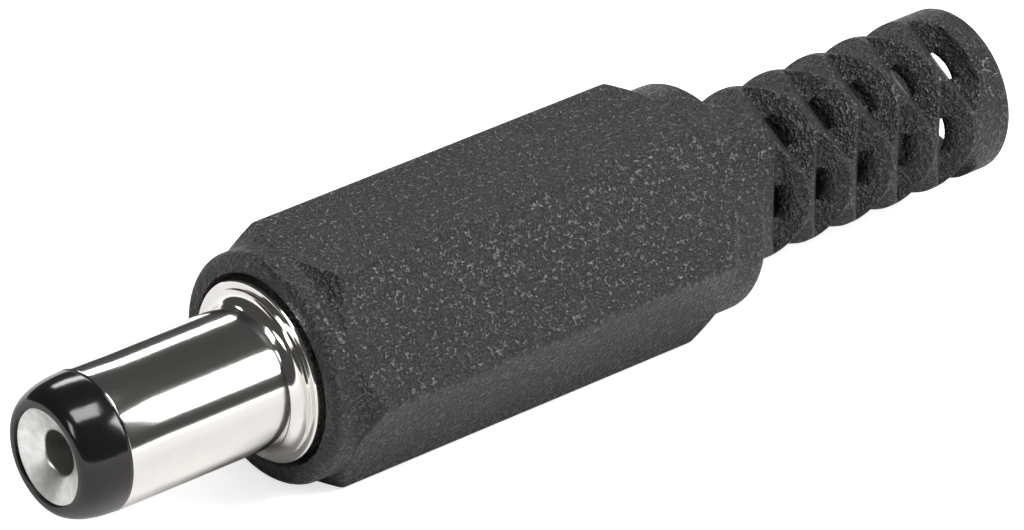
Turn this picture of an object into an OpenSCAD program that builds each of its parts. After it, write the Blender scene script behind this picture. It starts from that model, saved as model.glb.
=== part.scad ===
// Straight barrel plug for low-voltage DC power, solder type.
//
// The plug lies along X on one flat of its hexagonal cover: the tip points to -X and the
// cable comes out at +X. Z is up and Z = 0 is the surface that the plug lies on. X = 0 is
// halfway along the plug. The metal insert screws into the cover from the front. Across the
// axis each piece is sized from the one inside it, by a wall or a clearance of its own.

/* [Shaft] */
// Outer diameter of the barrel, the plug's negative contact
barrel_d = 5.5; // [5.2:0.1:5.8]
// Length of bare barrel, from the black tip to the flange's front face
barrel_len = 7.8; // [6:0.1:10]
// Wall of the barrel
barrel_wall = 0.6; // [0.5:0.05:0.7]
// Chamfer on the barrel's front edge
barrel_chamfer = 0.05; // [0.02:0.01:0.1]
// Radius of the fillet where the barrel grows into its flange
root_fillet = 0.45; // [0.2:0.05:0.6]
// Width of the raised land round that fillet
land_w = 0.05; // [0.02:0.01:0.15]
// Height of the land above the flange's front face
land_h = 0.14; // [0.05:0.01:0.25]
// Width of the flange's front face round the land
flange_w = 0.3; // [0.2:0.05:0.4]
// Thickness of the flange
flange_t = 0.85; // [0.7:0.05:1.1]
// Chamfer on the flange's front rim
flange_chamfer = 0.1; // [0.05:0.01:0.15]
// Length of the thread that holds the cover
thread_len = 5; // [3.5:0.1:7]
// Depth of the undercut between the flange and the thread
undercut_depth = 0.3; // [0.2:0.05:0.4]
// Length of that undercut
undercut_len = 0.5; // [0.3:0.05:0.8]
// Wall of the spigot that the ground lug is riveted on
spigot_wall = 0.25; // [0.2:0.05:0.3]
// How far the spigot's rim is rolled out over the lug
rivet_roll = 0.2; // [0.15:0.05:0.3]
// Height of that rim
rivet_h = 0.35; // [0.2:0.05:0.5]

/* [Tip insulator] */
// Length of black tip in front of the barrel
tip_len = 1.9; // [1.5:0.05:2.4]
// Width of the flat ring at the front of the tip
tip_flat_w = 0.16; // [0.1:0.02:0.25]
// Length of the insulator inside the barrel
insulator_len = 11; // [9.8:0.1:12]

/* [Centre contact] */
// Diameter of the hole that takes the jack's pin
pin_hole_d = 1.73; // [1.65:0.01:1.8]
// Depth of that hole, from the foot of the funnel
pin_hole_depth = 9; // [7:0.1:9.5]
// Wall of the contact tube
contact_wall = 0.385; // [0.3:0.005:0.45]
// Outer diameter of the funnel mouth
funnel_d = 3.78; // [3.5:0.02:3.86]
// Depth of the funnel
funnel_depth = 0.48; // [0.35:0.01:0.6]
// Thickness of the funnel's rim
funnel_rim = 0.14; // [0.1:0.01:0.2]
// How far the funnel mouth lies behind the tip's front face
funnel_recess = 0.12; // [0.05:0.01:0.2]
// Diameter of the contact's tail
tail_d = 1.5; // [1.3:0.05:1.7]
// How far the tail's end is riveted out over the centre lug
tail_roll = 0.3; // [0.2:0.05:0.4]
// Height of that riveted head
tail_head_h = 0.3; // [0.2:0.05:0.4]

/* [Rear insulator] */
// Thickness of the insulator's flange behind the rivet rim
rear_flange_t = 0.9; // [0.6:0.05:1.2]
// Length left empty in the barrel between the two insulators
insulator_gap = 1.2; // [0.5:0.1:1.8]

/* [Lugs] */
// Thickness of the lugs' sheet metal
sheet_t = 0.4; // [0.3:0.05:0.5]
// How far the ground lug's ring stands out past its strip and clamp
ring_lip = 0.1; // [0.05:0.01:0.15]
// Width of the ground strip, in degrees about the plug's axis
ground_strip_angle = 48; // [36:2:60]
// Length of the ground strip, from the ring to the cable clamp
ground_strip_len = 8; // [6.5:0.1:9]
// Diameter of the solder hole in the ground strip
ground_hole_d = 1.1; // [0.8:0.1:1.3]
// Place of that hole along the strip, as a share of the strip's length
ground_hole_at = 0.45; // [0.3:0.05:0.7]
// Length of the cable clamp
clamp_len = 2.6; // [2:0.1:3]
// Opening of the cable clamp, in degrees
clamp_gap = 110; // [90:5:150]
// Outer diameter of the centre lug's ring
centre_ring_d = 3.2; // [3:0.1:3.6]
// Width of the centre lug's strip
centre_strip_w = 1.7; // [1.5:0.1:2]
// Length of the centre lug's strip behind its ring
centre_strip_len = 5.2; // [4:0.1:6]
// Diameter of the solder hole in the centre lug
centre_hole_d = 0.9; // [0.7:0.1:1]
// Place of that hole along the strip, as a share of the strip's length
centre_hole_at = 0.7; // [0.4:0.05:0.8]

/* [Cover] */
// How far the flange stands out of the cover
flange_proud = 0.24; // [0.1:0.02:0.4]
// Wall of the cover round the flange, and so of its two round collars
collar_wall = 0.79; // [0.7:0.01:1.1]
// Radius on the cover's front edge
front_round = 0.35; // [0.2:0.05:0.5]
// Radius on the rear collar's edge
rear_round = 0.25; // [0.1:0.05:0.4]
// Length of the front collar, up to the grip's shoulder
front_collar_len = 1.1; // [0.9:0.1:2]
// Length of the rear collar behind the grip's shoulder
rear_collar_len = 1.5; // [1:0.1:2.2]
// How far the grip's six flats stand out past the collars, so that the plug lies still on one of them
flat_rise = 0.02; // [0.01:0.01:0.1]
// How much the grip's six edges are eased
edge_ease = 0.1; // [0.05:0.01:0.2]
// Radial room round the lugs, past the thread
cavity_room = 0.15; // [0.05:0.05:0.25]
// Room left behind the cable clamp
clamp_room = 2; // [1.5:0.1:3]
// Length of the taper from the hollow down to the cable hole
cavity_taper = 1.3; // [0.8:0.1:2]
// Thickness of the wall left behind the hollow, where the bend relief starts
cavity_wall = 0.9; // [0.6:0.1:1.5]

/* [Bend relief] */
// Diameter of the hole for the cable
cable_hole_d = 5; // [4.8:0.1:5.2]
// Wall of the bend relief
relief_wall = 0.8; // [0.7:0.05:1]
// Number of notches round the relief
notch_columns = 6; // [4:2:8]
// Number of notches along each column
notch_rows = 5; // [2:1:6]
// Distance from one notch to the next along the relief
notch_pitch = 2.12; // [1.8:0.02:2.4]
// Width left between neighbouring notches where they come closest
notch_web = 0.08; // [0.05:0.01:0.2]
// How far a notch cuts through into the cable hole
notch_through = 0.2; // [0.1:0.05:0.3]
// Distance from the rear collar to the middle of the first notch
first_notch = 2.23; // [1.8:0.01:2.6]
// Distance from the middle of the last notch to the solid ring that cuts it short
last_notch = 0.63; // [0.5:0.01:1.2]
// Length of the solid ring at the end of the relief
end_ring = 1.25; // [1:0.05:1.6]
// Radius on the edge of that ring
end_round = 0.3; // [0.1:0.05:0.4]

/* [Fits] */
// Gap all round between the insert's thread and the cover
thread_gap = 0.05; // [0.02:0.01:0.08]
// Gap all round between the flange and the opening that it lies in
mouth_gap = 0.2; // [0.1:0.05:0.3]
// Gap all round between the rear insulator and the ground strip
strip_gap = 0.05; // [0.03:0.01:0.1]
// Gap all round between the ground lug's ring and the cover's thread
lug_gap = 0.15; // [0.1:0.05:0.25]

/* [Hidden] */
$fn = 96;
eps = 0.01;
arc_steps = 6;             // chords in a small rounded edge
nose_steps = 12;           // chords in the tip's curve

// Radii, from the middle of the plug outwards
pin_hole_r = pin_hole_d / 2;
contact_r = pin_hole_r + contact_wall;
tail_r = tail_d / 2;
funnel_r = funnel_d / 2;
tip_flat_r = funnel_r + tip_flat_w;
barrel_r = barrel_d / 2;
bore_r = barrel_r - barrel_wall;
spigot_r = bore_r + spigot_wall;
rivet_r = spigot_r + rivet_roll;
strip_r = rivet_r + strip_gap + sheet_t;
ring_r = strip_r + ring_lip;
thread_bore_r = ring_r + lug_gap;
thread_r = thread_bore_r - thread_gap;
cavity_r = thread_bore_r + cavity_room;
land_r = barrel_r + root_fillet + land_w;
flange_r = land_r + flange_w;
mouth_r = flange_r + mouth_gap;
collar_r = mouth_r + collar_wall;
flat_r = collar_r + flat_rise;
hex_corner_r = flat_r / cos(30);
hex_edge_r = hex_corner_r - edge_ease;
cable_hole_r = cable_hole_d / 2;
relief_r = cable_hole_r + relief_wall;
reach = 4 * collar_r;      // longer than anything that a cutting tool passes through
axis_z = flat_r;           // the plug lies on one of its flats

// Notches: a V whose floor lies inside the cable hole's wall, as wide as the webs beside it allow
notch_floor_r = cable_hole_r - notch_through;
notch_half_w = (notch_pitch / 2 - notch_web) / 2;
notch_slope = notch_half_w / (relief_r * cos(180 / notch_columns) - notch_floor_r);

// Lengths of the cover and its parts: it holds the lugs, and the relief holds the notches
clamp_end_len = flange_t - flange_proud + thread_len + sheet_t + ground_strip_len + clamp_len;
shaft_len = clamp_end_len + clamp_room + cavity_taper + cavity_wall;
grip_len = shaft_len - front_collar_len - rear_collar_len;
relief_len = first_notch + notch_pitch * (notch_rows - 1 / 2) + last_notch + end_ring;
total_len = tip_len + barrel_len + flange_proud + shaft_len + relief_len;

// Stations along X, from the tip's front face to the end of the bend relief
x_tip = -total_len / 2;
x_barrel = x_tip + tip_len;
x_flange = x_barrel + barrel_len;
x_seat = x_flange + flange_t;
x_thread_end = x_seat + thread_len;
x_ground_ring_end = x_thread_end + sheet_t;
x_rivet_end = x_ground_ring_end + rivet_h;
x_rear_flange_end = x_rivet_end + rear_flange_t;
x_centre_ring_end = x_rear_flange_end + sheet_t;
x_funnel = x_tip + funnel_recess;
x_pin_hole = x_funnel + funnel_depth;
x_insulator_end = x_barrel + insulator_len;
x_ground_strip_end = x_ground_ring_end + ground_strip_len;
x_cover = x_flange + flange_proud;
x_grip = x_cover + front_collar_len;
x_grip_end = x_grip + grip_len;
x_collar_end = x_cover + shaft_len;
x_cover_end = x_collar_end + relief_len;
x_cavity_end = x_collar_end - cavity_wall;

// Points of an arc about [cx, cy], from angle a0 to angle a1
function arc(cx, cy, r, a0, a1, steps = arc_steps) =
    [for (i = [0 : steps]) let (a = a0 + (a1 - a0) * i / steps) [cx + r * cos(a), cy + r * sin(a)]];

// Lays a shape made round Z along X, at the height of the plug's axis
module along_x() {
    translate([0, 0, axis_z]) rotate([0, 90, 0]) children();
}

// Turned shape from a profile of [radius, x] points
module turned(profile) {
    along_x() rotate_extrude() polygon(profile);
}

// Cylinder from x0 to x1 about the plug's axis
module rod(r, x0, x1) {
    along_x() translate([0, 0, x0]) cylinder(r = r, h = x1 - x0);
}

// Flat profile in the plane of X and height, made wide along Y
module upright(width) {
    translate([0, width / 2, axis_z]) rotate([90, 0, 0]) linear_extrude(width) children();
}

// ---- Cover: one moulding with a hexagonal grip, two collars and a notched bend relief ----

module collars() {
    turned(concat(
        [[0, x_cover]],
        arc(collar_r - front_round, x_cover + front_round, front_round, -90, 0),
        arc(collar_r - rear_round, x_collar_end - rear_round, rear_round, 0, 90),
        [[0, x_collar_end]]));
}

// Hexagonal bar that rises from the collars over cones and is eased along its edges
module grip() {
    rise = hex_edge_r - collar_r;
    intersection() {
        along_x() translate([0, 0, x_grip]) rotate([0, 0, 30])
            cylinder(r = hex_corner_r, h = grip_len, $fn = 6);
        turned([[0, x_grip], [collar_r, x_grip], [hex_edge_r, x_grip + rise],
                [hex_edge_r, x_grip_end - rise], [collar_r, x_grip_end], [0, x_grip_end]]);
    }
}

module relief_tube() {
    turned(concat(
        [[0, x_collar_end - eps], [relief_r, x_collar_end - eps]],
        arc(relief_r - end_round, x_cover_end - end_round, end_round, 0, 90),
        [[0, x_cover_end]]));
}

// One V-shaped notch across the relief, centred at x on the relief's upper side
module notch(x) {
    half = notch_slope * (reach - notch_floor_r);
    translate([0, relief_r, 0]) rotate([90, 0, 0]) linear_extrude(2 * relief_r)
        polygon([[x, notch_floor_r], [x + half, reach], [x - half, reach]]);
}

// Every second column is shifted by half a pitch, so the webs between notches zigzag round the relief
module notches() {
    intersection() {
        translate([0, 0, axis_z])
            for (c = [0 : notch_columns - 1], k = [0 : notch_rows - 1])
                rotate([90 + 360 / notch_columns * c, 0, 0])
                    notch(x_collar_end + first_notch + notch_pitch * (k + (c % 2) / 2));
        rod(2 * relief_r, x_collar_end + eps, x_cover_end - end_ring);
    }
}

// The flange's counterbore, the thread's bore, the hollow round the lugs and the cable hole
module hollow() {
    turned([[0, x_cover - eps], [mouth_r, x_cover - eps], [mouth_r, x_seat],
            [thread_bore_r, x_seat], [thread_bore_r, x_thread_end],
            [cavity_r, x_thread_end], [cavity_r, x_cavity_end - cavity_taper],
            [cable_hole_r, x_cavity_end], [cable_hole_r, x_cover_end + eps], [0, x_cover_end + eps]]);
}

module cover() color([0.07, 0.07, 0.075]) {
    difference() {
        union() {
            collars();
            grip();
            relief_tube();
        }
        hollow();
        notches();
    }
}

// ---- Insert: the nickel-plated sleeve and what is fixed in it ----

module sleeve() color([0.8, 0.8, 0.8]) {
    turned(concat(
        [[bore_r, x_barrel], [barrel_r - barrel_chamfer, x_barrel], [barrel_r, x_barrel + barrel_chamfer]],
        arc(barrel_r + root_fillet, x_flange - land_h - root_fillet, root_fillet, 180, 90),
        [[land_r, x_flange - land_h], [land_r, x_flange],
         [flange_r - flange_chamfer, x_flange], [flange_r, x_flange + flange_chamfer],
         [flange_r, x_seat], [thread_r - undercut_depth, x_seat],
         [thread_r - undercut_depth, x_seat + undercut_len], [thread_r, x_seat + undercut_len],
         [thread_r, x_thread_end], [spigot_r, x_thread_end], [spigot_r, x_ground_ring_end],
         [rivet_r, x_ground_ring_end], [rivet_r, x_ground_ring_end + rivet_h / 2],
         [spigot_r, x_rivet_end], [bore_r, x_rivet_end]]));
}

// The tip's curve is a quarter of an ellipse from the flat front ring back to the barrel
function nose_curve() =
    [for (i = [0 : nose_steps]) let (a = 90 * i / nose_steps)
        [tip_flat_r + (barrel_r - tip_flat_r) * sin(a), x_barrel - tip_len * cos(a)]];

module tip_insulator() color([0.04, 0.04, 0.045]) {
    turned(concat(
        [[funnel_r, x_funnel + funnel_rim], [funnel_r, x_tip]],
        nose_curve(),
        [[bore_r, x_barrel], [bore_r, x_insulator_end],
         [contact_r, x_insulator_end], [contact_r, x_pin_hole + funnel_rim]]));
}

module centre_contact() color([0.85, 0.85, 0.84]) {
    head_r = tail_r + tail_roll;
    turned([[0, x_pin_hole + pin_hole_depth], [pin_hole_r, x_pin_hole + pin_hole_depth],
            [pin_hole_r, x_pin_hole], [funnel_r, x_funnel], [funnel_r, x_funnel + funnel_rim],
            [contact_r, x_pin_hole + funnel_rim], [contact_r, x_insulator_end],
            [tail_r, x_insulator_end], [tail_r, x_centre_ring_end],
            [head_r, x_centre_ring_end], [head_r, x_centre_ring_end + tail_head_h / 2],
            [tail_r, x_centre_ring_end + tail_head_h], [0, x_centre_ring_end + tail_head_h]]);
}

// A bush in the barrel's rear end, with a flange behind the rivet rim
module rear_insulator() color([0.75, 0.7, 0.55]) {
    x_bush = x_insulator_end + insulator_gap;
    turned([[tail_r, x_bush], [bore_r, x_bush], [bore_r, x_rivet_end], [rivet_r, x_rivet_end],
            [rivet_r, x_rear_flange_end], [tail_r, x_rear_flange_end]]);
}

// Sheet rolled about the plug's axis: an angle centred on the underside
module rolled_sheet(angle, x0, x1) {
    along_x() rotate([0, 0, -angle / 2]) rotate_extrude(angle = angle)
        translate([strip_r - sheet_t, x0]) square([sheet_t, x1 - x0]);
}

// Ring, strip and open clamp, cut and rolled from one sheet
module ground_lug() color([0.78, 0.78, 0.76]) {
    difference() {
        union() {
            rod(ring_r, x_thread_end, x_ground_ring_end);
            rolled_sheet(ground_strip_angle, x_ground_ring_end - eps, x_ground_strip_end + eps);
            rolled_sheet(360 - clamp_gap, x_ground_strip_end, x_ground_strip_end + clamp_len);
        }
        rod(spigot_r, x_thread_end - eps, x_ground_ring_end + eps);
        translate([x_ground_ring_end + ground_strip_len * ground_hole_at, 0, 0])
            cylinder(d = ground_hole_d, h = axis_z);
    }
}

// Ring on the contact's tail with a strip bent back from its upper edge
module centre_lug() color([0.78, 0.78, 0.76]) {
    top = centre_ring_d / 2;
    strip_end = x_centre_ring_end + centre_strip_len;
    difference() {
        union() {
            rod(top, x_rear_flange_end, x_centre_ring_end);
            upright(centre_strip_w)
                polygon([[x_rear_flange_end, 0], [x_centre_ring_end, 0], [x_centre_ring_end, top - sheet_t],
                         [strip_end, top - sheet_t], [strip_end, top], [x_rear_flange_end, top]]);
        }
        rod(tail_r, x_rear_flange_end - eps, x_centre_ring_end + eps);
        translate([x_centre_ring_end + centre_strip_len * centre_hole_at, 0, axis_z])
            cylinder(d = centre_hole_d, h = top + eps);
    }
}

cover();
sleeve();
tip_insulator();
centre_contact();
rear_insulator();
ground_lug();
centre_lug();
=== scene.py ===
"""Looks of a straight barrel plug for DC power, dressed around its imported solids.

Lengths are metres. The plug lies along X with its tip towards -X, and its axis is level at AXIS_Z.
Each moulded or turned piece is a grid of stations along the axis, radii from it and angles about it.
"""
import logging
import math
from dataclasses import dataclass
from enum import Enum
from typing import Any, Callable, Sequence

import bmesh
import bpy
import numpy as np
from mathutils import Matrix, Vector


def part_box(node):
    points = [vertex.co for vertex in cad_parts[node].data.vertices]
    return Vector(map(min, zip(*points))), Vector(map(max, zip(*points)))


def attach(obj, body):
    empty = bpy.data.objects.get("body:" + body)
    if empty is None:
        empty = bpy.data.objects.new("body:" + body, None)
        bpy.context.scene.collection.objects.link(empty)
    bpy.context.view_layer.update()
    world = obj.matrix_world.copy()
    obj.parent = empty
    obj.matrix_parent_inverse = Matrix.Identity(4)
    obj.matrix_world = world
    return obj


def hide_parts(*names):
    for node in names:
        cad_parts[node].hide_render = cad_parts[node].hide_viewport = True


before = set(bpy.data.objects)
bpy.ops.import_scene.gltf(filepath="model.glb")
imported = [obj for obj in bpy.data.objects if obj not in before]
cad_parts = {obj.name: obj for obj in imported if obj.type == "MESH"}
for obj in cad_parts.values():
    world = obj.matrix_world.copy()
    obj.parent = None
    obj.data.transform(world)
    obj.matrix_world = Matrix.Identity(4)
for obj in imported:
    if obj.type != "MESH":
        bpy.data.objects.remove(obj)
LOG = logging.getLogger("plug")
MM = 0.001
TAU = 2 * math.pi
CIRCLE_STEPS = 192
AXIS_Z = sum(corner[2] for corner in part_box("cover")) / 2

Colour = tuple[float, float, float]
Point = tuple[float, float]


class Body(Enum):
    """The two bodies of the plug that pieces ride on."""

    COVER = "cover"
    INSERT = "insert"


def node_ends(node: str) -> tuple[float, float]:
    """First and last station of a CAD node at rest."""
    low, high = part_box(node)
    return low[0], high[0]


# ---- Shader maths ----


@dataclass
class Sock:
    """A socket in a node tree whose operators add Math nodes."""

    tree: bpy.types.NodeTree
    out: bpy.types.NodeSocket

    def _math(self, operation: str, *values: Any) -> "Sock":
        """Adds one Math node.

        Args:
            operation: The node's operation.
            values: Sockets or numbers, in the order of its inputs.

        Returns:
            The node's result.
        """
        return Tree(self.tree).node("ShaderNodeMath", {"operation": operation}, dict(enumerate(values)))

    def __add__(self, other: Any) -> "Sock":
        """Sum."""
        return self._math("ADD", self, other)

    def __radd__(self, other: Any) -> "Sock":
        """Sum with a number in front."""
        return self._math("ADD", other, self)

    def __sub__(self, other: Any) -> "Sock":
        """Difference."""
        return self._math("SUBTRACT", self, other)

    def __rsub__(self, other: Any) -> "Sock":
        """Difference with a number in front."""
        return self._math("SUBTRACT", other, self)

    def __mul__(self, other: Any) -> "Sock":
        """Product."""
        return self._math("MULTIPLY", self, other)

    def __rmul__(self, other: Any) -> "Sock":
        """Product with a number in front."""
        return self._math("MULTIPLY", other, self)

    def __truediv__(self, other: Any) -> "Sock":
        """Quotient."""
        return self._math("DIVIDE", self, other)

    def __pow__(self, other: Any) -> "Sock":
        """Power."""
        return self._math("POWER", self, other)

    def sine(self) -> "Sock":
        """Sine."""
        return self._math("SINE", self)

    def clamp(self) -> "Sock":
        """The value held between 0 and 1."""
        return Tree(self.tree).node("ShaderNodeClamp", {}, {"Value": self})

    def band(self, low: float, high: float) -> "Sock":
        """0 below low, 1 above high and straight between them."""
        return ((self - low) / (high - low)).clamp()


@dataclass
class Tree:
    """A node tree and the methods that add nodes to it."""

    tree: bpy.types.NodeTree

    def node(self, kind: str, settings: dict[str, Any], inputs: dict[Any, Any], output: Any = 0) -> Sock:
        """Adds a node.

        Args:
            kind: The node's type.
            settings: Properties of the node, which are set first.
            inputs: Values or sockets by the input's name or index.
            output: Name or index of the output that is wanted.

        Returns:
            That output.
        """
        made = self.tree.nodes.new(kind)
        for name, value in settings.items():
            setattr(made, name, value)
        for name, value in inputs.items():
            if isinstance(value, Sock):
                self.tree.links.new(value.out, made.inputs[name])
            else:
                made.inputs[name].default_value = value
        return Sock(self.tree, made.outputs[output])

    def close(self, kind: str, shader: Sock) -> None:
        """Adds the tree's output node and links a shader to it."""
        made = self.tree.nodes.new(kind)
        self.tree.links.new(shader.out, made.inputs["Surface"])


class Paint:
    """A new material with the patterns that several finishes share."""

    def __init__(self, name: str) -> None:
        """Makes the material and reads the object's coordinates.

        Args:
            name: The material's name.
        """
        self.material = bpy.data.materials.new(name)
        self.material.use_nodes = True
        self.material.node_tree.nodes.clear()
        self.tree = Tree(self.material.node_tree)
        self.where = self.tree.node("ShaderNodeTexCoord", {}, {}, "Object")

    def noise(self, size: float, detail: float, rough: float, stretch: Sequence[float] = (1, 1, 1)) -> Sock:
        """Noise with features of a given size.

        Args:
            size: Size of a feature in metres.
            detail: Octaves of finer noise.
            rough: Share of the finer octaves.
            stretch: Factors on X, Y and Z; a smaller one makes longer features.

        Returns:
            The noise, about 0.5 on average.
        """
        scale = tuple(factor / size for factor in stretch)
        place = self.tree.node("ShaderNodeMapping", {}, {"Vector": self.where, "Scale": scale})
        inputs = {"Vector": place, "Scale": 1.0, "Detail": detail, "Roughness": rough}
        return self.tree.node("ShaderNodeTexNoise", {"noise_dimensions": "3D"}, inputs, "Fac")

    def along(self, axis: str) -> Sock:
        """One coordinate of the place, in metres."""
        return self.tree.node("ShaderNodeSeparateXYZ", {}, {0: self.where}, axis)

    def mix(self, factor: Sock, low: Colour, high: Colour) -> Sock:
        """Colour from low at 0 to high at 1."""
        inputs = {"Factor": factor, "A": (*low, 1.0), "B": (*high, 1.0)}
        return self.tree.node("ShaderNodeMix", {"data_type": "RGBA"}, inputs, "Result")

    def toned(self, factor: Sock, colour: Colour, share: float) -> Sock:
        """Colour that becomes share times as bright where the factor is 1."""
        return self.mix(factor, colour, tuple(share * part for part in colour))

    def bump(self, height: Sock, depth: float) -> Sock:
        """A surface raised by up to depth metres where height is 1."""
        return self.tree.node("ShaderNodeBump", {}, {"Height": height, "Distance": depth}, "Normal")

    def finish(self, **inputs: Any) -> bpy.types.Material:
        """Closes the material with a Principled shader.

        Args:
            inputs: The shader's values or sockets, with _ for each space of the input's name.

        Returns:
            The material.
        """
        named = {name.replace("_", " "): value for name, value in inputs.items()}
        shader = self.tree.node("ShaderNodeBsdfPrincipled", {}, named)
        self.tree.close("ShaderNodeOutputMaterial", shader)
        return self.material


# ---- Finishes ----


@dataclass(frozen=True)
class SparkedPlastic:
    """Black moulded plastic with the grain of a spark-eroded mould, and painted glints of light on the
    grain's crests.
    """

    name: str = "cover_plastic"
    colour: Colour = (0.0045, 0.0045, 0.0048)
    # Painted highlight: this pale colour on the grain's crests stands in for glints of light.
    glint_paint: Colour = (0.050, 0.050, 0.052)
    glint_crest_gain: float = 9.0
    grain: float = 0.19 * MM
    depth: float = 0.09 * MM
    roughness: float = 0.25

    def make(self) -> bpy.types.Material:
        """Pits and islands from two sizes of noise; the islands' crests are shinier, and are painted paler as
        a highlight of glints.

        Returns:
            The material.
        """
        paint = Paint(self.name)
        coarse = paint.noise(self.grain, 2.0, 0.6)
        fine = paint.noise(self.grain / 2, 2.0, 0.5)
        height = coarse.band(0.40, 0.60) * 0.7 + fine * 0.6
        crests_and_painted_glints = ((coarse * 0.55 + fine * 0.45 - 0.5) * self.glint_crest_gain).clamp()
        return paint.finish(
            # Painted highlight: the crests' mask makes the base colour pale where glints of light would
            # sparkle on the grain.
            Base_Color=paint.mix(crests_and_painted_glints, self.colour, self.glint_paint),
            Roughness=self.roughness + 0.25 * (1 - crests_and_painted_glints),
            Specular_IOR_Level=0.55,
            Normal=paint.bump(height, self.depth))


@dataclass(frozen=True)
class NickelPlate:
    """Turned brass with bright nickel plate and faint turning rings."""

    name: str = "nickel_plate"
    colour: Colour = (0.80, 0.78, 0.75)
    roughness: float = 0.085
    rings: float = 0.09 * MM
    ring_stretch: float = 0.004
    clouds: float = 0.9 * MM
    depth: float = 0.0005 * MM

    def make(self) -> bpy.types.Material:
        """Rings from noise that hardly changes across the axis, and a little cloudiness in the gloss.

        Returns:
            The material.
        """
        paint = Paint(self.name)
        rings = paint.noise(self.rings, 2.0, 0.6, (1.0, self.ring_stretch, self.ring_stretch))
        cloud = paint.noise(self.clouds, 3.0, 0.55)
        dulled = tuple(0.96 * part for part in self.colour)
        return paint.finish(
            Base_Color=paint.mix(cloud.band(0.3, 0.7), dulled, self.colour),
            Metallic=1.0,
            Roughness=self.roughness + 0.02 * rings + 0.02 * cloud,
            Normal=paint.bump(rings, self.depth))


@dataclass(frozen=True)
class GlossPlastic:
    """Black plastic with a smooth, glossy skin."""

    name: str = "tip_plastic"
    colour: Colour = (0.006, 0.006, 0.0065)
    roughness: float = 0.10
    waves: float = 0.55 * MM
    mist: float = 0.12 * MM
    depth: float = 0.006 * MM

    def make(self) -> bpy.types.Material:
        """A gloss that a slow noise makes a little uneven, over very shallow waves.

        Returns:
            The material.
        """
        paint = Paint(self.name)
        waves = paint.noise(self.waves, 2.0, 0.5)
        mist = paint.noise(self.mist, 2.0, 0.5)
        return paint.finish(
            Base_Color=paint.toned(mist.band(0.3, 0.8), self.colour, 1.5),
            Roughness=self.roughness + 0.06 * waves + 0.03 * mist,
            Normal=paint.bump(waves, self.depth))


@dataclass(frozen=True)
class ContactPlate:
    """Satin plate on the turned contact, with rings from the cutter round the axis."""

    name: str = "contact_plate"
    colour: Colour = (0.84, 0.83, 0.80)
    roughness: float = 0.26
    ring_pitch: float = 0.06 * MM
    grime: float = 0.35 * MM
    depth: float = 0.0015 * MM

    def make(self) -> bpy.types.Material:
        """Rings as a sine of the distance from the axis, mixed with noise.

        Returns:
            The material.
        """
        paint = Paint(self.name)
        height, side = paint.along("Z") - AXIS_Z, paint.along("Y")
        radius = (height * height + side * side) ** 0.5
        rings = (radius * (TAU / self.ring_pitch)).sine() * 0.5 + 0.5
        grime = paint.noise(self.grime, 3.0, 0.6)
        return paint.finish(
            Base_Color=paint.toned(grime.band(0.35, 0.75), self.colour, 0.72),
            Metallic=1.0,
            Roughness=self.roughness + 0.10 * grime,
            Normal=paint.bump(rings * 0.6 + grime * 0.4, self.depth))


@dataclass(frozen=True)
class BushPlastic:
    """Pale insulating plastic with a dull skin."""

    name: str = "insulator_plastic"
    colour: Colour = (0.62, 0.55, 0.40)
    roughness: float = 0.46
    mottle: float = 0.8 * MM
    grain: float = 0.10 * MM
    depth: float = 0.006 * MM

    def make(self) -> bpy.types.Material:
        """A mottled tone and a shallow moulded grain.

        Returns:
            The material.
        """
        paint = Paint(self.name)
        tone = paint.noise(self.mottle, 3.0, 0.5)
        grain = paint.noise(self.grain, 2.0, 0.5)
        return paint.finish(
            Base_Color=paint.toned(tone.band(0.3, 0.7), self.colour, 0.86),
            Roughness=self.roughness + 0.12 * grain,
            Normal=paint.bump(grain, self.depth))


@dataclass(frozen=True)
class LugPlate:
    """Rolled sheet with a satin plate, streaked along the strip."""

    name: str = "lug_plate"
    colour: Colour = (0.70, 0.69, 0.66)
    roughness: float = 0.24
    streaks: float = 0.07 * MM
    streak_stretch: float = 0.03
    spots: float = 0.6 * MM
    depth: float = 0.002 * MM

    def make(self) -> bpy.types.Material:
        """Streaks from noise stretched along X, and faint spots.

        Returns:
            The material.
        """
        paint = Paint(self.name)
        streaks = paint.noise(self.streaks, 3.0, 0.6, (self.streak_stretch, 1.0, 1.0))
        spots = paint.noise(self.spots, 3.0, 0.6)
        return paint.finish(
            Base_Color=paint.toned(spots.band(0.35, 0.75), self.colour, 0.84),
            Metallic=1.0,
            Roughness=self.roughness + 0.12 * streaks + 0.06 * spots,
            Normal=paint.bump(streaks, self.depth))


@dataclass(frozen=True)
class PaleFloor:
    """Pale floor that shows as white where no shadow falls."""

    name: str = "floor_white"
    low: Colour = (0.80, 0.80, 0.80)
    high: Colour = (0.82, 0.82, 0.82)
    mottle: float = 9 * MM
    clearing: tuple[float, float] = (30 * MM, 140 * MM)
    lift: float = 0.72

    def make(self) -> bpy.types.Material:
        """Adds white to a diffuse surface by the kind of ray, and so keeps the shadow.

        Metal shows that white too, apart from a clearing close round the plug, which gives its
        underside the darker bands that a turned part has on a table.

        Returns:
            The material.
        """
        paint = Paint(self.name)
        camera, glossy, through = [
            paint.tree.node("ShaderNodeLightPath", {}, {}, kind)
            for kind in ("Is Camera Ray", "Is Glossy Ray", "Is Transmission Ray")]
        away = (paint.along("X") ** 2 + paint.along("Y") ** 2) ** 0.5
        strength = (camera + glossy * away.band(*self.clearing) + through).clamp() * self.lift
        tone = paint.mix(paint.noise(self.mottle, 2.0, 0.5), self.low, self.high)
        diffuse = paint.tree.node("ShaderNodeBsdfDiffuse", {}, {"Color": tone})
        white = paint.tree.node("ShaderNodeEmission", {}, {"Color": (1, 1, 1, 1), "Strength": strength})
        both = paint.tree.node("ShaderNodeAddShader", {}, {0: diffuse, 1: white})
        paint.tree.close("ShaderNodeOutputMaterial", both)
        return paint.material


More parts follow.
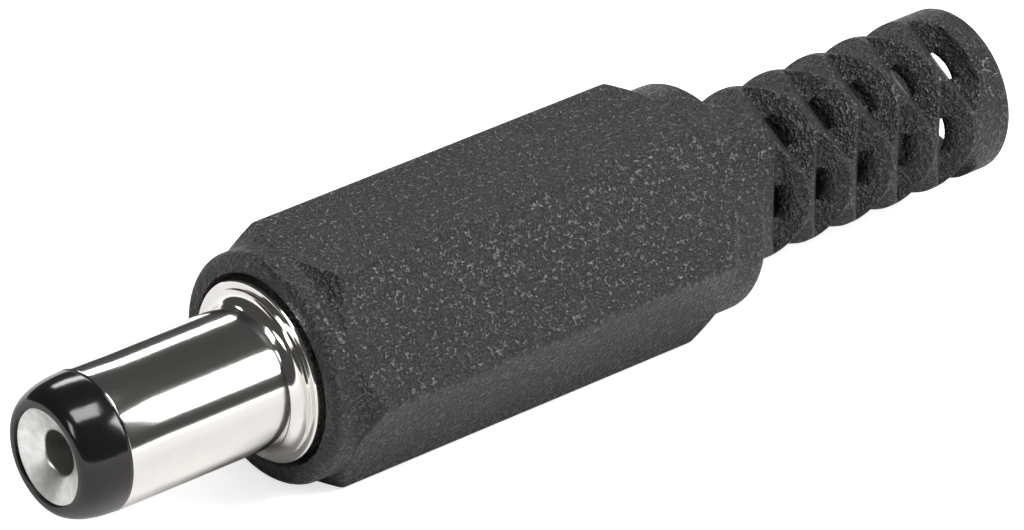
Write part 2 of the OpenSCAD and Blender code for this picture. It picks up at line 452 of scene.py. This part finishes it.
def dress(node: str, material: bpy.types.Material) -> None:
    """Gives a CAD node's object one material in all its slots.

    Args:
        node: Name of the CAD node.
        material: Its finish.
    """
    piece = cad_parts[node]
    if not piece.material_slots:
        piece.data.materials.append(material)
    for slot in piece.material_slots:
        slot.material = material


def dress_all() -> dict[str, bpy.types.Material]:
    """Gives every CAD node its finish.

    Returns:
        Each node's material.
    """
    sheet = LugPlate().make()
    finishes = {
        "sleeve": NickelPlate().make(),
        "cover": SparkedPlastic().make(),
        "tip_insulator": GlossPlastic().make(),
        "centre_contact": ContactPlate().make(),
        "rear_insulator": BushPlastic().make(),
        "ground_lug": sheet,
        "centre_lug": sheet}
    for node, material in finishes.items():
        dress(node, material)
        LOG.info("dressed %s with %s", node, material.name)
    return finishes


# ---- Surfaces about the axis ----


def eased(points: Any, cuts: Sequence[float], steps: int = 4) -> np.ndarray:
    """Polylines whose corners are rounded.

    A corner is cut back along both of its sides by its cut, or by 0.45 of the shorter side if that is
    less. A quadratic curve with the corner as its middle point joins the two ends.

    Args:
        points: (station, radius) points, or an array of lines of them.
        cuts: How far each point's corner is cut back, 0 for a point that stays, such as both ends.
        steps: Chords in each curve.

    Returns:
        The lines' points, in an array of the same form.
    """
    path = np.asarray(points, float)
    before, after = path - np.roll(path, 1, -2), np.roll(path, -1, -2) - path
    long_before, long_after = (np.linalg.norm(side, axis=-1, keepdims=True) for side in (before, after))
    cut = np.minimum(np.asarray(cuts, float)[:, None], 0.45 * np.minimum(long_before, long_after))
    start = (path - cut * before / long_before)[..., None, :]
    end = (path + cut * after / long_after)[..., None, :]
    share = np.linspace(0, 1, steps + 1)[:, None]
    middle = path[..., None, :]
    curve = (1 - share) ** 2 * start + 2 * share * (1 - share) * middle + share ** 2 * end
    kept = [curve[..., i, :, :] if cuts[i] > 0 else middle[..., i, :, :] for i in range(len(cuts))]
    return np.concatenate(kept, axis=-2)


def quarter(steps: int) -> np.ndarray:
    """Angles inside a quarter turn, without its two ends."""
    return np.linspace(0, TAU / 4, steps + 1)[1:-1]


def rounded_edge(station: float, radius: float, size: float, steps: int = 6) -> np.ndarray:
    """The points between the ends of a quarter circle on an outer edge.

    Args:
        station: Station of the face that the edge belongs to.
        radius: Radius of the side that it belongs to.
        size: Radius of the edge, less than 0 where the body lies in front of its face.
        steps: Chords in the quarter circle.

    Returns:
        (station, radius) points, from the side to the face.
    """
    turn = quarter(steps)
    return np.stack([station + size * (1 - np.sin(turn)), radius - abs(size) * (1 - np.cos(turn))], -1)


def grid_faces(rows: int, columns: int, closed: bool = True) -> np.ndarray:
    """Quads of a grid whose last column meets its first.

    Args:
        rows: Points in the first direction.
        columns: Points in the second direction.
        closed: Whether the last row meets the first as well.

    Returns:
        An array of four vertex numbers a face.
    """
    i = np.arange(rows if closed else rows - 1)[:, None]
    j = np.arange(columns)[None, :]
    near, far = (i + 1) % rows, (j + 1) % columns
    quads = np.stack([i * columns + j, i * columns + far, near * columns + far, near * columns + j], -1)
    return quads.reshape(-1, 4)


def polar(stations: np.ndarray, radii: np.ndarray, angles: np.ndarray) -> np.ndarray:
    """Points at a station along the axis, a radius from it and an angle about it, 0 on the +Y side."""
    return np.stack([stations, radii * np.cos(angles), AXIS_Z + radii * np.sin(angles)], -1).reshape(-1, 3)


def solid(name: str, points: np.ndarray, faces: np.ndarray, material: bpy.types.Material) -> bpy.types.Object:
    """A smooth piece from points and quads, with its doubles merged and its normals outward.

    Args:
        name: The piece's name.
        points: Vertex places.
        faces: Four vertex numbers a face.
        material: Its finish.

    Returns:
        The piece, in the scene.
    """
    same_place = 0.0004 * MM
    mesh = bpy.data.meshes.new(name)
    mesh.from_pydata(points.tolist(), [], faces.tolist())
    work = bmesh.new()
    work.from_mesh(mesh)
    bmesh.ops.remove_doubles(work, verts=work.verts, dist=same_place)
    bmesh.ops.dissolve_degenerate(work, edges=work.edges, dist=same_place)
    bmesh.ops.recalc_face_normals(work, faces=work.faces)
    work.to_mesh(mesh)
    work.free()
    mesh.polygons.foreach_set("use_smooth", np.ones(len(mesh.polygons), bool))
    mesh.update()
    piece = bpy.data.objects.new(name, mesh)
    mesh.materials.append(material)
    bpy.context.scene.collection.objects.link(piece)
    weighted = piece.modifiers.new("even_shading", "WEIGHTED_NORMAL")
    weighted.keep_sharp = True
    LOG.info("built %s: %d faces", name, len(mesh.polygons))
    return piece


def stand_for(piece: bpy.types.Object, body: Body, node: str) -> None:
    """The piece rides on a body, and replaces a CAD node with that node's finish.

    Args:
        piece: The new piece.
        body: What it rides on.
        node: The CAD node that it replaces.
    """
    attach(piece, body.value)
    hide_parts(node)


def turned_solid(name: str, profile: np.ndarray, material: bpy.types.Material, closed: bool = True,
                 wave: Callable[[np.ndarray, np.ndarray, np.ndarray], np.ndarray] | None = None
                 ) -> bpy.types.Object:
    """A profile carried round the axis.

    Args:
        name: The piece's name.
        profile: (station, radius) points of an outline.
        material: Its finish.
        closed: Whether the outline's end meets its start. Otherwise both ends lie on the axis.
        wave: What to add to the radius from station, radius and angle, or None.

    Returns:
        The piece.
    """
    shape = (len(profile), CIRCLE_STEPS)
    stations, radii = np.broadcast_to(profile[:, :1], shape), np.broadcast_to(profile[:, 1:], shape)
    angles = np.broadcast_to(np.arange(CIRCLE_STEPS) * TAU / CIRCLE_STEPS, shape)
    if wave is not None:
        radii = radii + wave(stations, radii, angles)
    return solid(name, polar(stations, radii, angles), grid_faces(*shape, closed), material)


# ---- Cover ----


@dataclass
class Cover:
    """The moulded cover: front collar, hexagonal grip, rear collar and notched bend relief.

    Every section through the axis is one closed polyline. Its stations shift with the angle where the
    grip's corners and the notches do, so that every edge of the form follows a line of the mesh.
    """

    collar: float = 4.54 * MM
    flat: float = 4.545 * MM
    edge: float = 5.19 * MM
    front_round: float = 0.35 * MM
    rear_round: float = 0.25 * MM
    front_collar: float = 1.1 * MM
    rear_collar: float = 1.5 * MM
    relief: float = 3.3 * MM
    relief_len: float = 13.65 * MM
    hole: float = 2.5 * MM
    mouth: float = 3.75 * MM
    mouth_depth: float = 0.61 * MM
    thread: float = 3.3 * MM
    thread_len: float = 5.0 * MM
    cavity: float = 3.45 * MM
    cavity_taper: float = 1.3 * MM
    cavity_wall: float = 0.9 * MM
    notch_floor: float = 2.37 * MM
    notch_pitch: float = 2.12 * MM
    first_notch: float = 2.23 * MM
    notch_rows: int = 5
    notch_columns: int = 6
    end_ring: float = 1.25 * MM
    end_round: float = 0.3 * MM
    notch_web: float = 0.08 * MM
    notch_ease: float = 0.03 * MM
    ease: float = 0.05 * MM
    grip_ease: float = 0.08 * MM

    def __post_init__(self) -> None:
        """Takes the ends from the CAD node, sets the sections' angles and works the notches' slope out."""
        self.start, self.end = node_ends("cover")
        self.shaft_end = self.end - self.relief_len
        self.angles = self.section_angles()
        half_width = (self.notch_pitch / 2 - self.notch_web) / 2
        self.slope = half_width / (self.relief * math.cos(math.pi / self.notch_columns) - self.notch_floor)

    def section_angles(self) -> np.ndarray:
        """Angles of the sections: even steps, with more at the grip's six ridges.

        Returns:
            The angles, in rising order.
        """
        even = np.arange(CIRCLE_STEPS) * TAU / CIRCLE_STEPS
        ridges = np.arange(6) * TAU / 6
        spread = np.radians([-3.0, -2.2, -1.5, -1.0, -0.5, 0.5, 1.0, 1.5, 2.2, 3.0])
        near = (ridges[:, None] + spread[None]).ravel()
        return np.unique(np.round(np.concatenate([even, near]) % TAU, 9))

    def grip_radius(self) -> np.ndarray:
        """Radius of the hexagon at each section.

        It is the flat's distance over the cosine of the angle from the flat's middle. Near a ridge it is
        the far side of a circle that touches both flats and reaches out to the edge's radius.

        Returns:
            One radius for each section.
        """
        from_ridge = np.abs((self.angles + TAU / 12) % (TAU / 6) - TAU / 12)
        sharp = 1 / math.cos(TAU / 12)
        fillet = (self.flat * sharp - self.edge) / (sharp - 1)
        centre = (self.flat - fillet) * sharp
        touch = math.atan2(fillet * math.sin(TAU / 12), centre + fillet * math.cos(TAU / 12))
        chord = np.clip(fillet ** 2 - (centre * np.sin(from_ridge)) ** 2, 0, None)
        rounded = centre * np.cos(from_ridge) + np.sqrt(chord)
        return np.where(from_ridge < touch, rounded, self.flat / np.cos(TAU / 12 - from_ridge))

    def sections(self, points: Any) -> np.ndarray:
        """The same (station, radius) points at every section."""
        line = np.asarray(points, float)
        return np.broadcast_to(line, (len(self.angles), *line.shape))

    def grip(self) -> np.ndarray:
        """The grip's line at each section: a cone up from the collar, the flat or ridge, a cone down.

        Returns:
            (station, radius) points of each section.
        """
        foot, heel = self.start + self.front_collar, self.shaft_end - self.rear_collar
        beyond = 0.3 * MM
        raised = self.grip_radius()
        climb = np.abs(raised - self.collar)
        low = np.full_like(raised, self.collar)
        stations = [low * 0 + foot - beyond, low * 0 + foot, foot + climb,
                    heel - climb, low * 0 + heel, low * 0 + heel + beyond]
        corners = np.stack([np.stack(stations, -1), np.stack([low, low, raised, raised, low, low], -1)], -1)
        return eased(corners, [0.0] + [self.grip_ease] * 4 + [0.0])

    def shaft(self) -> np.ndarray:
        """The outer line of each section, from the mouth round the front edge to the relief's foot.

        Returns:
            (station, radius) points of each section.
        """
        step = 0.06 * MM
        front = rounded_edge(self.start, self.collar, self.front_round)[::-1]
        rear = rounded_edge(self.shaft_end, self.collar, -self.rear_round)
        return np.concatenate([
            self.sections([(self.start, self.mouth + self.ease), (self.start, self.collar - self.front_round),
                           *front, (self.start + self.front_round, self.collar)]),
            self.grip(),
            self.sections([(self.shaft_end - self.rear_round, self.collar), *rear,
                           (self.shaft_end, self.collar - self.rear_round),
                           (self.shaft_end, self.relief + step),
                           (self.shaft_end + step / 3, self.relief + step / 3),
                           (self.shaft_end + step, self.relief)])], axis=1)

    def notches(self) -> np.ndarray:
        """The notched stretch of each section, in ten notches from two families of columns in turn.

        A notch has flat walls: the radius is the floor's plus the distance from the notch's middle
        over the slope, all over the cosine of the angle from its column. It is held between the cable
        hole's radius, where it opens a window, and the relief's surface, where its edges lie. An upright
        wall cuts it short where the solid end ring starts.

        Returns:
            (station, radius) points, eleven to a notch.
        """
        count = np.arange(2 * self.notch_rows)
        column = TAU / 6 * (1 - count % 2)
        off = (self.angles[:, None] - column + TAU / 6) % (TAU / 3) - TAU / 6
        cos = np.cos(off)
        middle = self.shaft_end + self.first_notch + self.notch_pitch * count / 2 + 0 * off
        half = self.slope * np.maximum(0.0, self.relief * cos - self.notch_floor)
        ease = np.minimum(self.notch_ease, 0.25 * half)
        valley = np.minimum(0.03 * MM, 0.3 * half)
        window = np.maximum(self.slope * (self.hole * cos - self.notch_floor), valley)
        right = np.minimum(middle + half, self.end - self.end_ring)
        clipped = middle + half > self.end - self.end_ring
        tail = np.where(clipped, right, right - ease)

        def wall(station: np.ndarray) -> np.ndarray:
            """Points on the notch's wall."""
            radius = (self.notch_floor + np.abs(station - middle) / self.slope) / cos
            return np.stack([station, np.clip(radius, self.hole, self.relief)], -1)

        def surface(station: np.ndarray, drop: np.ndarray | float = 0.0) -> np.ndarray:
            """Points that far below the relief's surface."""
            return np.stack([station, self.relief - drop + 0 * station], -1)

        bottom = wall(middle)
        bottom[..., 1] = np.where(window > valley, bottom[..., 1], wall(middle + 0.5 * window)[..., 1])
        left_share, right_share = middle + (ease - half - window) / 2, (middle + window + tail) / 2
        points = [surface(middle - half - ease), surface(middle - half, 0.35 * ease),
                  wall(middle - half + ease), wall(left_share), wall(middle - window), bottom,
                  wall(middle + window), wall(right_share), wall(tail),
                  surface(right, np.where(clipped, 0.7, 0.35) * ease), surface(right + ease)]
        return np.stack(points, 2).reshape(len(self.angles), -1, 2)

    def hollow(self, notches: np.ndarray) -> np.ndarray:
        """The inner line of each section, from the end ring back to the front face.

        Args:
            notches: The notched stretch, whose stations the cable hole's wall repeats.

        Returns:
            (station, radius) points.
        """
        seat = self.start + self.mouth_depth
        back = self.shaft_end - self.cavity_wall
        wall = np.stack([notches[:, ::-1, 0], np.full(notches.shape[:2], self.hole)], -1)
        return np.concatenate([
            self.sections([(self.end - self.ease, self.hole)]),
            wall,
            self.sections([(back, self.hole), (back - self.cavity_taper, self.cavity),
                           (seat + self.thread_len, self.cavity), (seat + self.thread_len, self.thread),
                           (seat, self.thread), (seat, self.mouth), (self.start + self.ease, self.mouth)])],
            axis=1)

    def build(self, material: bpy.types.Material) -> None:
        """Lays all the sections side by side round the axis and joins them to a closed surface.

        Where a notch reaches the cable hole, the faces of its floor and those of the hole's wall behind
        it are left out, and their rims meet.

        Args:
            material: The cover's finish.
        """
        shaft, notches = self.shaft(), self.notches()
        tip = rounded_edge(self.end, self.relief, -self.end_round)
        ring = self.sections([(self.end - self.end_round, self.relief), *tip,
                              (self.end, self.relief - self.end_round), (self.end, self.hole + self.ease)])
        lines = np.concatenate([shaft, notches, ring, self.hollow(notches)], axis=1)
        first, count = shaft.shape[1], notches.shape[1]
        opposite = first + count + ring.shape[1] + 1
        cut_through = notches[..., 1] <= self.hole * (1 + 1e-6)
        at_window = np.zeros(lines.shape[:2], bool)
        at_window[:, first:first + count] = cut_through
        at_window[:, opposite:opposite + count] = cut_through[:, ::-1]
        faces = grid_faces(*at_window.shape)
        within = np.ptp(faces % at_window.shape[1], axis=1) == 1
        windows = at_window.ravel()[faces].all(axis=1) & within
        points = polar(lines[..., 0], lines[..., 1], self.angles[:, None])
        piece = solid("cover_moulding", points, faces[~windows], material)
        stand_for(piece, Body.COVER, "cover")


# ---- Insert ----


@dataclass
class Insert:
    """What screws into the cover: the sleeve, its black tip and the turned centre contact."""

    barrel: float = 2.75 * MM
    bore: float = 2.15 * MM
    root: float = 0.45 * MM
    land: float = 3.25 * MM
    land_height: float = 0.14 * MM
    flange: float = 3.55 * MM
    flange_len: float = 0.85 * MM
    flange_proud: float = 0.24 * MM
    flange_chamfer: float = 0.1 * MM
    thread: float = 3.25 * MM
    undercut: float = 2.95 * MM
    undercut_len: float = 0.5 * MM
    thread_len: float = 5.0 * MM
    thread_pitch: float = 0.5 * MM
    thread_depth: float = 0.2 * MM
    spigot: float = 2.4 * MM
    rivet: float = 2.6 * MM
    sheet: float = 0.4 * MM
    rivet_height: float = 0.35 * MM
    tip_len: float = 1.9 * MM
    tip_flat: float = 2.05 * MM
    funnel: float = 1.89 * MM
    funnel_recess: float = 0.12 * MM
    funnel_depth: float = 0.48 * MM
    rim: float = 0.14 * MM
    tube: float = 1.25 * MM
    pin_hole: float = 0.865 * MM
    hole_depth: float = 9.0 * MM
    insulator_len: float = 11.0 * MM
    tail: float = 0.75 * MM
    tail_head: float = 1.05 * MM
    head_height: float = 0.3 * MM

    ease: float = 0.05 * MM
    fine_ease: float = 0.03 * MM
    tip_ease: float = 0.04 * MM

    def __post_init__(self) -> None:
        """Takes the stations from the CAD nodes."""
        self.tip = node_ends("tip_insulator")[0]
        self.barrel_start = self.tip + self.tip_len
        self.face = node_ends("cover")[0] - self.flange_proud
        self.seat = self.face + self.flange_len
        self.thread_end = self.seat + self.thread_len
        self.insulator_end = self.barrel_start + self.insulator_len
        self.contact_end = node_ends("centre_contact")[1]

    def barrel_line(self) -> np.ndarray:
        """The sleeve's line from inside its mouth along the barrel and up the root fillet.

        Returns:
            (station, radius) points.
        """
        foot = self.face - self.land_height
        turn = quarter(12)
        fillet = np.stack([foot - self.root * (1 - np.sin(turn)),
                           self.barrel + self.root * (1 - np.cos(turn))], -1)
        inner_run, outer_run = 2 * MM, 1.5 * MM
        front = eased([(self.barrel_start + inner_run, self.bore), (self.barrel_start, self.bore),
                       (self.barrel_start, self.barrel), (self.barrel_start + outer_run, self.barrel),
                       (foot - self.root, self.barrel)],
                      [0, self.fine_ease, self.ease, 0, 0])
        return np.concatenate([front, fillet])

    def flange_line(self) -> np.ndarray:
        """The sleeve's line over the land and the flange, down to the undercut and up to the thread.

        Returns:
            (station, radius) points.
        """
        foot, groove_end, run_in = self.face - self.land_height, self.seat + self.undercut_len, 0.1 * MM
        fine = self.fine_ease
        return eased([(foot, self.barrel + self.root), (foot, self.land), (self.face, self.land),
                      (self.face, self.flange), (self.seat, self.flange), (self.seat, self.undercut),
                      (groove_end, self.undercut),
                      (groove_end + run_in, self.thread - self.thread_depth / 2)],
                     [0, fine, fine, self.flange_chamfer, self.ease, fine, fine, 0])

    def thread_stations(self) -> np.ndarray:
        """Stations of the thread, eight to a pitch."""
        return np.arange(self.seat + self.undercut_len + 0.12 * MM, self.thread_end - 0.1 * MM,
                         self.thread_pitch / 8)

    def spigot_line(self) -> np.ndarray:
        """The sleeve's line from the thread's end over the spigot and the rivet rim, back into the bore.

        Returns:
            (station, radius) points.
        """
        run_out, step = 0.08 * MM, 0.18 * MM
        ring_end = self.thread_end + self.sheet
        rim_middle, rim_end = ring_end + self.rivet_height / 2, ring_end + self.rivet_height
        ease, fine = self.ease, self.fine_ease
        return eased([(self.thread_end - run_out, self.thread - self.thread_depth / 2),
                      (self.thread_end, self.thread - step),
                      (self.thread_end, self.spigot), (ring_end, self.spigot), (ring_end, self.rivet),
                      (rim_middle, self.rivet), (rim_end, self.spigot),
                      (rim_end, self.bore), (self.seat, self.bore)],
                     [0, fine, fine, fine, ease, ease, ease, fine, 0])

    def sleeve(self, material: bpy.types.Material) -> None:
        """Builds the turned sleeve, whose thread is a ridge that winds round it.

        Args:
            material: The piece's finish.
        """
        ridges = self.thread_stations()
        thread = np.stack([ridges, np.full(len(ridges), self.thread - self.thread_depth / 2)], -1)

        def helix(stations: np.ndarray, radii: np.ndarray, angles: np.ndarray) -> np.ndarray:
            """A triangle wave of the thread's pitch, cut flat at its crests, one pitch further each turn.

            Args:
                stations: Stations of the points.
                radii: Their distances from the axis.
                angles: Their angles about it.

            Returns:
                What is added to each radius.
            """
            phase = (stations / self.thread_pitch - angles / TAU) % 1
            ridge = np.clip(1.3 * (1 - 4 * np.abs(phase - 0.5)), -1, 1) * self.thread_depth / 2
            threaded = (stations >= ridges[1]) & (stations <= ridges[-2]) & (radii > self.undercut)
            return np.where(threaded, ridge, 0.0)

        profile = np.concatenate([self.barrel_line(), self.flange_line(), thread, self.spigot_line()])
        piece = turned_solid("sleeve_turned", profile, material, wave=helix)
        stand_for(piece, Body.INSERT, "sleeve")

    def insulator(self, material: bpy.types.Material) -> None:
        """Builds the black tip: a quarter of an ellipse back from its flat ring, and a tube behind it.

        Args:
            material: The piece's finish.
        """
        turn = np.linspace(0, TAU / 4, 25)
        nose = np.stack([self.barrel_start - self.tip_len * np.cos(turn),
                         self.tip_flat + (self.barrel - 0.02 * MM - self.tip_flat) * np.sin(turn)], -1)
        seat, small = self.tip + self.funnel_recess + self.rim, self.tip_ease
        pin = seat + self.funnel_depth
        lip = eased([(pin, self.tube), (seat, self.funnel), (self.tip, self.funnel), nose[0]],
                    [0, small, small, 0])
        back = eased([nose[-1], (self.barrel_start, self.bore), (self.insulator_end, self.bore),
                      (self.insulator_end, self.tube), (pin, self.tube)],
                     [0, small, small, small, 0])
        piece = turned_solid("tip_moulding", np.concatenate([lip[:-1], nose, back[1:-1]]), material)
        stand_for(piece, Body.INSERT, "tip_insulator")

    def contact(self, material: bpy.types.Material) -> None:
        """Builds the centre contact: pin hole, funnel mouth, tube, tail and riveted head.

        Args:
            material: The piece's finish.
        """
        mouth = self.tip + self.funnel_recess
        pin, end, on_axis = mouth + self.funnel_depth, self.contact_end, 1e-9
        bottom, head = pin + self.hole_depth, end - self.head_height
        small = self.ease
        corners: list[tuple[Point, float]] = [
            ((bottom + 0.0001 * MM, on_axis), 0), ((bottom, self.pin_hole), small),
            ((pin, self.pin_hole), 0.09 * MM), ((mouth, self.funnel - 0.02 * MM), 0.035 * MM),
            ((mouth + self.rim, self.funnel - 0.005 * MM), 0.02 * MM), ((pin + self.rim, self.tube), small),
            ((self.insulator_end, self.tube), small), ((self.insulator_end, self.tail), small),
            ((head, self.tail), small), ((head, self.tail_head), small),
            ((head + self.head_height / 2, self.tail_head), small), ((end, self.tail), small),
            ((end, on_axis), 0)]
        profile = eased([corner for corner, _ in corners], [cut for _, cut in corners], 6)
        piece = turned_solid("contact_turned", profile, material, closed=False)
        stand_for(piece, Body.INSERT, "centre_contact")

    def build(self, finishes: dict[str, bpy.types.Material]) -> None:
        """Builds the three turned and moulded pieces with their nodes' finishes.

        Args:
            finishes: Each node's material.
        """
        self.sleeve(finishes["sleeve"])
        self.insulator(finishes["tip_insulator"])
        self.contact(finishes["centre_contact"])


# ---- Studio ----


def towards(azimuth: float, elevation: float) -> Vector:
    """Unit vector from the plug towards a viewer.

    Args:
        azimuth: Degrees about Z, 0 in front (-Y).
        elevation: Degrees above the floor.

    Returns:
        The vector.
    """
    turn, tilt = math.radians(azimuth), math.radians(elevation)
    return Vector((math.sin(turn) * math.cos(tilt), -math.cos(turn) * math.cos(tilt), math.sin(tilt)))


def facing(place: Vector, target: Vector, roll: float = 0.0) -> Matrix:
    """Matrix of a lamp or camera.

    Args:
        place: Where it stands.
        target: What it looks at.
        roll: Degrees that it is turned about its own line of sight.

    Returns:
        The matrix.
    """
    back = (place - target).normalized()
    right = Vector((0, 0, 1)).cross(back).normalized()
    up = back.cross(right)
    turned = math.radians(roll)
    side = right * math.cos(turned) + up * math.sin(turned)
    top = up * math.cos(turned) - right * math.sin(turned)
    matrix = Matrix((side, top, back)).transposed().to_4x4()
    matrix.translation = place
    return matrix


@dataclass(frozen=True)
class SoftBox:
    """A rectangular lamp that points at the plug, from an azimuth and elevation in degrees."""

    name: str
    side: tuple[float, float]
    distance: float
    size: tuple[float, float]
    power: float

    def build(self) -> None:
        """Adds the lamp to the scene."""
        data = bpy.data.lights.new(self.name, "AREA")
        data.shape = "RECTANGLE"
        data.size, data.size_y = self.size
        data.energy = self.power
        lamp = bpy.data.objects.new(self.name, data)
        target = Vector((0, 0, AXIS_Z))
        lamp.matrix_world = facing(target + towards(*self.side) * self.distance, target)
        bpy.context.scene.collection.objects.link(lamp)


@dataclass
class Studio:
    """Floor, world, lamps and camera round the plug."""

    azimuth: float = -40.157
    elevation: float = 29.467
    roll: float = 0.363
    distance: float = 0.33728
    lens: float = 316.4
    sensor: float = 36.0
    clip: tuple[float, float] = (0.005, 5.0)
    aim: tuple[float, float] = (-0.00009, 0.00017)
    floor_size: float = 0.9
    surround: float = 0.07
    lamps: tuple[SoftBox, ...] = (
        SoftBox("high_box", (-10.0, 78.0), 0.45, (0.30, 0.16), 1.5),
        SoftBox("front_box", (-78.0, 36.0), 0.50, (0.10, 0.22), 0.5),
        SoftBox("side_box", (44.0, 33.0), 0.55, (0.20, 0.28), 2.4),
        SoftBox("rear_box", (150.0, 32.0), 0.55, (0.30, 0.10), 0.8))

    def camera(self) -> None:
        """A long lens that looks down at the plug from its tip's side."""
        target = Vector((*self.aim, AXIS_Z))
        data = bpy.data.cameras.new("view")
        data.lens = self.lens
        data.sensor_width = self.sensor
        data.clip_start, data.clip_end = self.clip
        camera = bpy.data.objects.new("view", data)
        place = target + towards(self.azimuth, self.elevation) * self.distance
        camera.matrix_world = facing(place, target, self.roll)
        bpy.context.scene.collection.objects.link(camera)
        bpy.context.scene.camera = camera

    def world(self) -> None:
        """A dim grey surround that the camera sees as white."""
        world = bpy.data.worlds.new("surround")
        world.use_nodes = True
        world.node_tree.nodes.clear()
        tree = Tree(world.node_tree)
        seen = tree.node("ShaderNodeLightPath", {}, {}, "Is Camera Ray")
        strength = self.surround + seen * (1 - self.surround)
        light = tree.node("ShaderNodeBackground", {}, {"Color": (1, 1, 1, 1), "Strength": strength})
        tree.close("ShaderNodeOutputWorld", light)
        bpy.context.scene.world = world

    def floor(self) -> None:
        """A flat floor at Z = 0."""
        half = self.floor_size / 2
        corners = [(-half, -half, 0), (half, -half, 0), (half, half, 0), (-half, half, 0)]
        mesh = bpy.data.meshes.new("floor")
        mesh.from_pydata(corners, [], [(0, 1, 2, 3)])
        piece = bpy.data.objects.new("floor", mesh)
        mesh.materials.append(PaleFloor().make())
        bpy.context.scene.collection.objects.link(piece)

    def build(self) -> None:
        """Sets the whole studio up."""
        self.world()
        self.floor()
        for lamp in self.lamps:
            lamp.build()
        self.camera()


def main() -> None:
    """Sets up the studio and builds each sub-assembly."""
    logging.basicConfig(level=logging.INFO)
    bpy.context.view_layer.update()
    bpy.context.scene.view_settings.view_transform = "Standard"
    Studio().build()
    finishes = dress_all()
    Cover().build(finishes["cover"])
    Insert().build(finishes)


if __name__ == "__main__":
    main()
